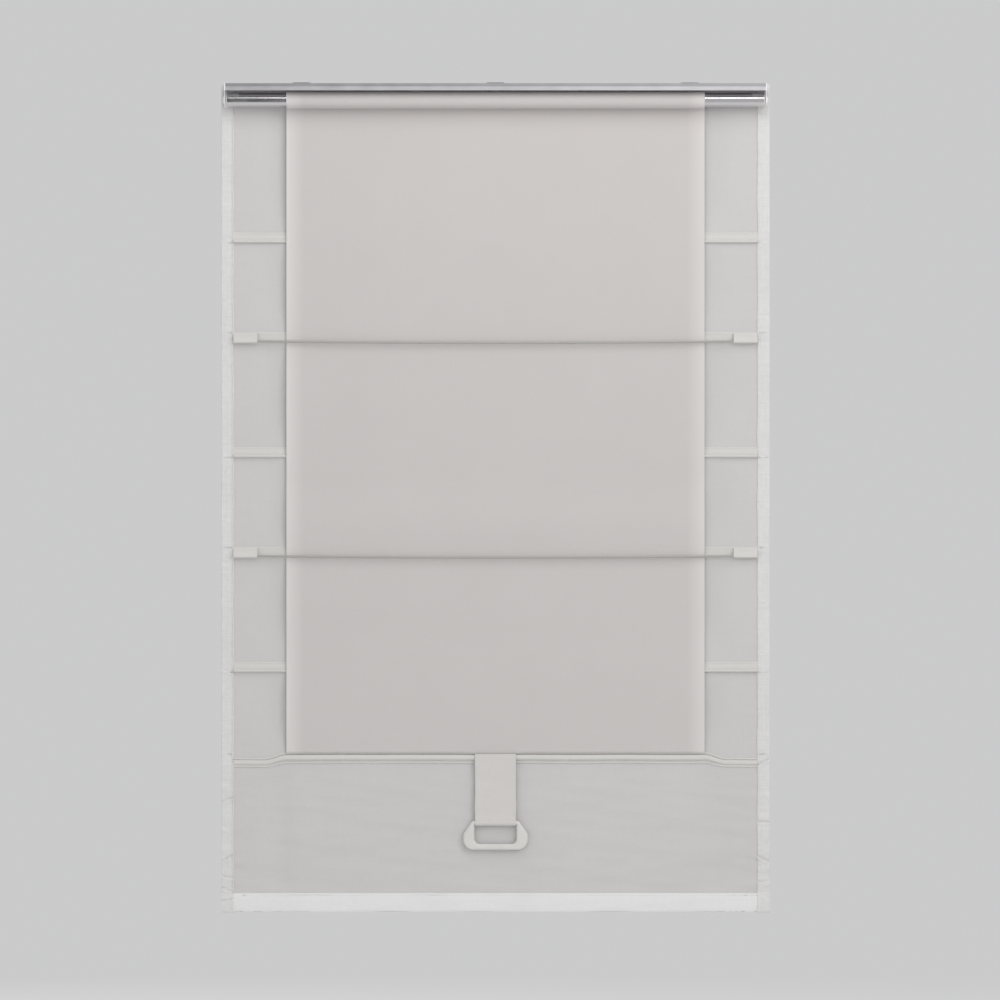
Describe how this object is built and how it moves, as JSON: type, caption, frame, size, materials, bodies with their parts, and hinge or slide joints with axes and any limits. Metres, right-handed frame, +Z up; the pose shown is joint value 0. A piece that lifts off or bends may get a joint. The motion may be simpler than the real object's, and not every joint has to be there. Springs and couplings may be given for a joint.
{
  "type": "roller blind",
  "caption": "Cordless fabric shade with a spring roller, lifting liner, cross ribs, weighted hem and a pull strap with ring handle.",
  "frame": {"origin": "centre of the mounting clips' top faces, where the headrail meets the top of the window opening", "axes": "+Z up, +X along the headrail, +Y towards the room, -Y towards the window"},
  "size_m": [1.075, 0.0547, 1.626],
  "materials": {
    "face_fabric": "matte",
    "liner_fabric": "matte",
    "strap_fabric": "matte",
    "fastening_tape": "matte",
    "headrail_aluminium": "satin",
    "tube_aluminium": "polished",
    "bracket_steel": "satin",
    "clip_steel": "satin",
    "zinc_steel": "satin",
    "spring_steel": "oiled",
    "plug_plastic": "satin",
    "rod_plastic": "satin",
    "bar_aluminium": "satin",
    "cap_plastic": "satin",
    "handle_plastic": "satin"
  },
  "bodies": {
    "headrail_frame": {"headrail": "headrail_aluminium", "mounting_clip_left": "clip_steel", "mounting_clip_centre": "clip_steel", "mounting_clip_right": "clip_steel", "end_bracket_left": "bracket_steel", "end_bracket_right": "bracket_steel", "bracket_screws": "zinc_steel", "hook_strip": "fastening_tape", "loop_strip": "fastening_tape", "spring_spindle": "zinc_steel", "spring_fixed_hub": "plug_plastic", "face_panel_0": "face_fabric", "rib_1_pocket": "face_fabric", "rib_1_rod": "rod_plastic", "liner_drop": "liner_fabric"},
    "roller": {"roller_tube": "tube_aluminium", "liner_roll": "liner_fabric", "spring_end_plug": "plug_plastic", "spindle_bush": "plug_plastic", "torsion_spring": "spring_steel", "idle_plug": "plug_plastic"},
    "idle_pin_body": {"idle_pin": "zinc_steel", "idle_pin_spring": "spring_steel"},
    "upper_fold": {"face_panel_1": "face_fabric", "rib_2_pockets": "face_fabric", "rib_2_rod": "rod_plastic", "face_panel_2": "face_fabric", "rib_3_pocket": "face_fabric", "rib_3_rod": "rod_plastic"},
    "middle_fold": {"face_panel_3": "face_fabric", "rib_4_pockets": "face_fabric", "rib_4_rod": "rod_plastic", "face_panel_4": "face_fabric", "rib_5_pocket": "face_fabric", "rib_5_rod": "rod_plastic"},
    "lower_fold": {"face_panel_5": "face_fabric", "rib_6_pocket": "face_fabric", "rib_6_rod": "rod_plastic", "face_flap": "face_fabric", "bottom_hem": "face_fabric", "weight_bar": "bar_aluminium", "weight_bar_cap_left": "cap_plastic", "weight_bar_cap_right": "cap_plastic"},
    "strap": {"pull_strap": "strap_fabric"},
    "handle": {"ring_handle": "handle_plastic"}
  },
  "joints": [
    {"name": "shade_lift", "type": "slide", "parent": "headrail_frame", "child": "upper_fold", "axis": [0, -0.0765, 0.9971], "range_m": [0, 0.3921], "deforming": ["face_panel_1", "liner_drop"]},
    {"name": "middle_lift", "type": "slide", "parent": "upper_fold", "child": "middle_fold", "axis": [0, -0.0385, 0.9993], "range_m": [0, 0.3898], "deforming": ["face_panel_3"]},
    {"name": "lower_lift", "type": "slide", "parent": "middle_fold", "child": "lower_fold", "axis": [0, -0.0416, 0.9991], "range_m": [0, 0.3608], "deforming": ["face_panel_5"]},
    {"name": "roller_spin", "type": "hinge", "parent": "headrail_frame", "child": "roller", "pos_m": [0, 0, -0.0335], "axis": [1, 0, 0], "range_deg": [0, 3601], "deforming": ["torsion_spring"]},
    {"name": "idle_pin_plunge", "type": "slide", "parent": "roller", "child": "idle_pin_body", "axis": [1, 0, 0], "range_m": [-0.006, 0], "stiffness_N_per_m": 400, "springref_m": 0.012, "deforming": ["idle_pin_spring"]},
    {"name": "strap_swing", "type": "hinge", "parent": "lower_fold", "child": "strap", "pos_m": [0, 0.0132, -1.317], "axis": [-1, 0, 0], "range_deg": [0, 110]},
    {"name": "handle_swing", "type": "hinge", "parent": "strap", "child": "handle", "pos_m": [0, 0.0132, -1.45], "axis": [-1, 0, 0], "range_deg": [0, 150]}
  ],
  "couplings": [
    {"joint": "middle_lift", "follows": "shade_lift", "ratio": 0.99271},
    {"joint": "lower_lift", "follows": "shade_lift", "ratio": 0.91881},
    {"joint": "roller_spin", "follows": "shade_lift", "rad_per_m": 160.24}
  ]
}
